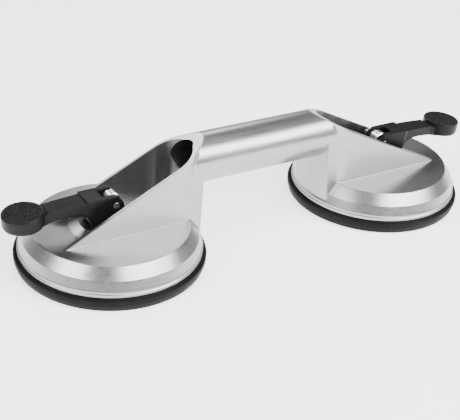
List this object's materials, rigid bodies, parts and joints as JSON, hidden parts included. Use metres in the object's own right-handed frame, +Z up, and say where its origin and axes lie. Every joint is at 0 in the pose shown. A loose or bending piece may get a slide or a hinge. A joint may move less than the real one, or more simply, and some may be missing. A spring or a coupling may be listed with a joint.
{
  "type": "twin-cup suction lifter",
  "caption": "Hand-held vacuum lifter: a cast aluminium body with a hollow handle joins rubber suction discs at its ends, each drawn up by a black cam lever over a steel eye stud.",
  "frame": {"origin": "on the sealing plane, midway between the two cups' axes", "axes": "+X along the handle from the left cup to the right cup, +Y across it, +Z up, away from the gripped sheet"},
  "size_m": [0.3394, 0.118, 0.0723],
  "materials": {
    "cast_aluminium": "satin cast, finely brushed",
    "rubber": "matt moulded rubber",
    "zinc_steel": "zinc plated",
    "bright_steel": "machined, bright",
    "bush_bronze": "plain bronze",
    "spring_steel": "drawn wire",
    "lever_plastic": "moulded glass-filled nylon"
  },
  "bodies": {
    "root": {"cast_body": "cast_aluminium", "left_rubber_pad": "rubber", "left_guide_bush": "bush_bronze", "left_wear_washer": "bright_steel", "left_return_spring": "spring_steel", "right_rubber_pad": "rubber", "right_guide_bush": "bush_bronze", "right_wear_washer": "bright_steel", "right_return_spring": "spring_steel"},
    "left_stud": {"left_stud": "bright_steel", "left_backing_plate": "zinc_steel", "left_stud_nut": "zinc_steel", "left_lever_pin": "bright_steel", "left_pin_clip": "spring_steel"},
    "left_lever": {"left_lever": "lever_plastic"},
    "right_stud": {"right_stud": "bright_steel", "right_backing_plate": "zinc_steel", "right_stud_nut": "zinc_steel", "right_lever_pin": "bright_steel", "right_pin_clip": "spring_steel"},
    "right_lever": {"right_lever": "lever_plastic"}
  },
  "joints": [
    {"name": "left_stud_slide", "type": "slide", "parent": "root", "child": "left_stud", "axis": [0, 0, 1], "range_m": [-0.0054, 0], "deforming": ["left_return_spring", "left_rubber_pad"]},
    {"name": "left_lever_hinge", "type": "hinge", "parent": "left_stud", "child": "left_lever", "pos_m": [-0.1011, 0, 0.0403], "axis": [0, 1, 0], "range_deg": [0, 90]},
    {"name": "right_stud_slide", "type": "slide", "parent": "root", "child": "right_stud", "axis": [0, 0, 1], "range_m": [-0.0054, 0], "deforming": ["right_return_spring", "right_rubber_pad"]},
    {"name": "right_lever_hinge", "type": "hinge", "parent": "right_stud", "child": "right_lever", "pos_m": [0.1011, 0, 0.0403], "axis": [0, -1, 0], "range_deg": [0, 90]}
  ],
  "couplings": [
    {"joint": "left_lever_hinge", "follows": "left_stud_slide", "rad_per_m": -290.88},
    {"joint": "right_lever_hinge", "follows": "right_stud_slide", "rad_per_m": -290.88}
  ]
}
